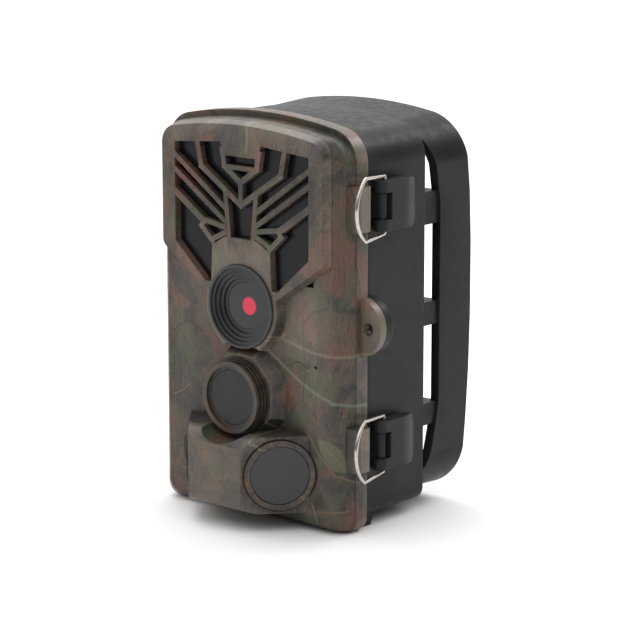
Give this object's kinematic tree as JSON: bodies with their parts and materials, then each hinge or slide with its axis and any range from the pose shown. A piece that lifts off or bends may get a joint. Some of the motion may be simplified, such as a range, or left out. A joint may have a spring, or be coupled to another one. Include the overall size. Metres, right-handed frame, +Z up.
{
  "type": "trail camera",
  "caption": "Camouflaged trail camera with a hinged front cover, wire-bail latches, a chevron grille over its infrared window, motion sensors and a rear strap bracket.",
  "frame": {"origin": "mouth of the tripod thread, in the plane of the base", "axes": "+Z up, -Y towards the front cover, +X to the latch side"},
  "size_m": [0.0966, 0.0849, 0.1372],
  "materials": {
    "camo_shell": "satin printed camouflage",
    "black_shell": "fine satin texture",
    "dark_bezel": "satin",
    "ir_filter": "gloss, passes infrared",
    "sensor_film": "smooth satin",
    "clear_glass": "polished",
    "lens_glass": "coated, polished",
    "steel_wire": "bright",
    "steel": "plain zinc",
    "brass": "machined",
    "seal_rubber": "matt",
    "key_rubber": "matt",
    "tray_plastic": "matt",
    "cell_jacket": "plain gloss jacket",
    "board": "solder mask",
    "components": "matt",
    "led_epoxy": "clear epoxy",
    "metal_can": "satin",
    "screen": "gloss",
    "sensor_chip": "gloss"
  },
  "bodies": {
    "housing": {"rear_housing": "black_shell", "rear_bracket": "black_shell", "housing_gasket": "seal_rubber", "tripod_insert": "brass", "hinge_pin": "steel", "latch_pins": "steel", "battery_tray": "tray_plastic", "battery_cells": "cell_jacket", "battery_contacts": "steel", "tray_screws": "steel", "bracket_screws": "steel"},
    "cover": {"front_cover": "camo_shell", "face_panel": "camo_shell", "ir_window": "ir_filter", "led_board": "board", "led_domes": "led_epoxy", "camera_bezel": "camo_shell", "camera_window": "clear_glass", "lens_barrel": "dark_bezel", "camera_lens": "lens_glass", "image_sensor": "sensor_chip", "sensor_bezel": "dark_bezel", "sensor_window": "sensor_film", "side_windows": "sensor_film", "motion_detectors": "metal_can", "main_board": "board", "board_parts": "components", "inner_panel": "black_shell", "lcd_screen": "screen", "card_socket": "metal_can", "usb_socket": "metal_can", "panel_screws": "steel"},
    "key_menu": {"key_menu": "key_rubber"},
    "key_up": {"key_up": "key_rubber"},
    "key_left": {"key_left": "key_rubber"},
    "key_ok": {"key_ok": "key_rubber"},
    "key_right": {"key_right": "key_rubber"},
    "key_down": {"key_down": "key_rubber"},
    "mode_switch": {"mode_switch": "dark_bezel"},
    "lever_upper": {"lever_upper": "black_shell"},
    "lever_lower": {"lever_lower": "black_shell"},
    "bail_upper": {"bail_upper": "steel_wire"},
    "bail_lower": {"bail_lower": "steel_wire"}
  },
  "joints": [
    {"name": "cover_hinge", "type": "hinge", "parent": "housing", "child": "cover", "pos_m": [-0.0445, -0.016, 0.0593], "axis": [0, 0, -1], "range_deg": [0, 150]},
    {"name": "lever_upper_pivot", "type": "hinge", "parent": "housing", "child": "lever_upper", "pos_m": [0.0432, -0.0111, 0.1091], "axis": [0, 0, -1], "range_deg": [0, 115]},
    {"name": "bail_upper_pivot", "type": "hinge", "parent": "lever_upper", "child": "bail_upper", "pos_m": [0.0431, -0.0095, 0.1091], "axis": [0, 0, 1], "range_deg": [0, 140]},
    {"name": "lever_lower_pivot", "type": "hinge", "parent": "housing", "child": "lever_lower", "pos_m": [0.0432, -0.0111, 0.0291], "axis": [0, 0, -1], "range_deg": [0, 115]},
    {"name": "bail_lower_pivot", "type": "hinge", "parent": "lever_lower", "child": "bail_lower", "pos_m": [0.0431, -0.0095, 0.0291], "axis": [0, 0, 1], "range_deg": [0, 140]},
    {"name": "key_menu_press", "type": "slide", "parent": "cover", "child": "key_menu", "axis": [0, -1, 0], "range_m": [0, 0.0006], "stiffness_N_per_m": 500},
    {"name": "key_up_press", "type": "slide", "parent": "cover", "child": "key_up", "axis": [0, -1, 0], "range_m": [0, 0.0006], "stiffness_N_per_m": 500},
    {"name": "key_left_press", "type": "slide", "parent": "cover", "child": "key_left", "axis": [0, -1, 0], "range_m": [0, 0.0006], "stiffness_N_per_m": 500},
    {"name": "key_ok_press", "type": "slide", "parent": "cover", "child": "key_ok", "axis": [0, -1, 0], "range_m": [0, 0.0006], "stiffness_N_per_m": 500},
    {"name": "key_right_press", "type": "slide", "parent": "cover", "child": "key_right", "axis": [0, -1, 0], "range_m": [0, 0.0006], "stiffness_N_per_m": 500},
    {"name": "key_down_press", "type": "slide", "parent": "cover", "child": "key_down", "axis": [0, -1, 0], "range_m": [0, 0.0006], "stiffness_N_per_m": 500},
    {"name": "mode_switch_slide", "type": "slide", "parent": "cover", "child": "mode_switch", "axis": [0, 0, 1], "range_m": [0, 0.006]}
  ],
  "couplings": [
    {"joint": "bail_upper_pivot", "follows": "lever_upper_pivot", "ratio": 1.2},
    {"joint": "bail_lower_pivot", "follows": "lever_lower_pivot", "ratio": 1.2}
  ]
}
